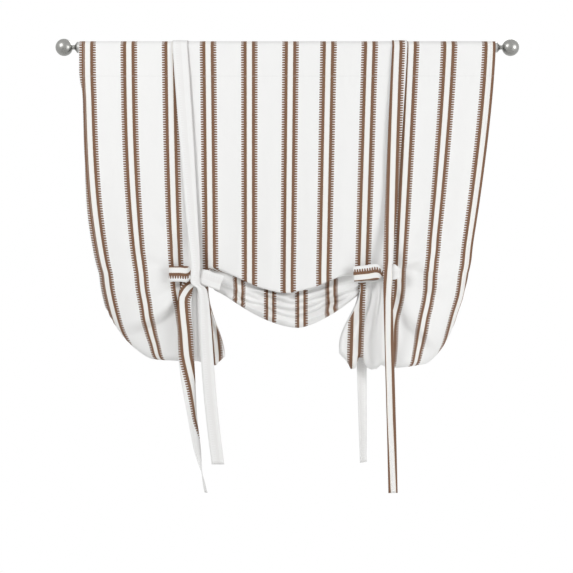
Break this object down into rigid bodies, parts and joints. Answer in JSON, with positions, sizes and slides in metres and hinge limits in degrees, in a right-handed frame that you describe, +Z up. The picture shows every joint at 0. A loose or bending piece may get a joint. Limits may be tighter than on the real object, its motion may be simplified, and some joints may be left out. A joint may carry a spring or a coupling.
{
  "type": "tie-up curtain on a telescoping rod",
  "caption": "Striped cotton tie-up curtain gathered into a swag and side ears by bow-tied fabric ties, on an extending rod with ball finials.",
  "frame": {"origin": "on the rod's axis, halfway along the rod", "axes": "+X along the rod to the right as seen from the room, +Y towards the window, +Z up"},
  "size_m": [1.163, 0.1081, 1.1336],
  "materials": {
    "printed_cotton": "matte woven cotton, white ground with brown stripe pairs",
    "tie_cotton": "matte woven cotton",
    "rod_metal": "satin",
    "finial_metal": "brushed pewter grey"
  },
  "bodies": {
    "hung_curtain": {"curtain_panel": "printed_cotton", "front_tie_left": "tie_cotton", "back_tie_left": "tie_cotton", "front_tie_right": "tie_cotton", "back_tie_right": "tie_cotton", "rod_outer_tube": "rod_metal", "finial_left": "finial_metal"},
    "rod_extension": {"rod_inner_tube": "rod_metal", "finial_right": "finial_metal"}
  },
  "joints": [
    {"name": "rod_slide", "type": "slide", "parent": "hung_curtain", "child": "rod_extension", "axis": [1, 0, 0], "range_m": [0, 0.17]}
  ]
}
